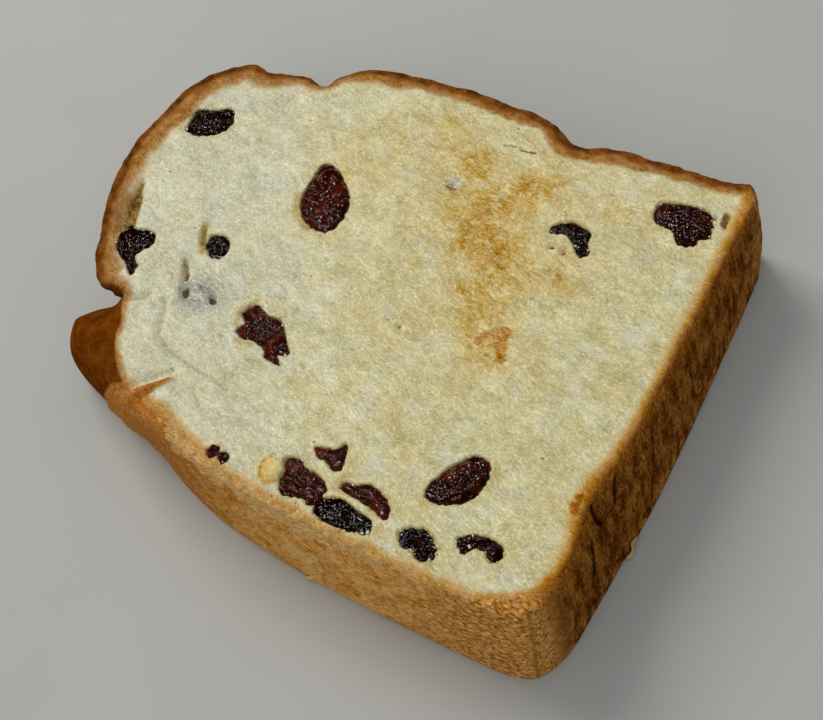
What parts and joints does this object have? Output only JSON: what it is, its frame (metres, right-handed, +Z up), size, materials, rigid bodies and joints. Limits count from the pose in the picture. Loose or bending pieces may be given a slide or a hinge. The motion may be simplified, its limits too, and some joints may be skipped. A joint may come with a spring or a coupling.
{
  "type": "raisin bread slice",
  "caption": "Thick slice of lightly toasted raisin bread with a humped top, lying flat on its cut face.",
  "frame": {"origin": "centre of the slice's bounding box, on the surface it lies on", "axes": "+Y from the flat base crust towards the humped top of the loaf, +X across the loaf, +Z up through the slice's thickness"},
  "size_m": [0.116, 0.1466, 0.0282],
  "materials": {
    "bread": "soft porous cream crumb, lightly toasted, with a browned matte crust",
    "raisin": "dark wrinkled skin, half glossy and sticky"
  },
  "bodies": {
    "root": {"bread_slice": "bread", "raisin_upper_01": "raisin", "raisin_upper_02": "raisin", "raisin_upper_03": "raisin", "raisin_upper_04": "raisin", "raisin_upper_05": "raisin", "raisin_upper_06": "raisin", "raisin_upper_07": "raisin", "raisin_upper_08": "raisin", "raisin_upper_09": "raisin", "raisin_upper_10": "raisin", "raisin_upper_11": "raisin", "raisin_upper_12": "raisin", "raisin_upper_13": "raisin", "raisin_upper_14": "raisin", "raisin_upper_15": "raisin", "raisin_lower_01": "raisin", "raisin_lower_02": "raisin", "raisin_lower_03": "raisin", "raisin_lower_04": "raisin", "raisin_lower_05": "raisin"}
  },
  "joints": []
}
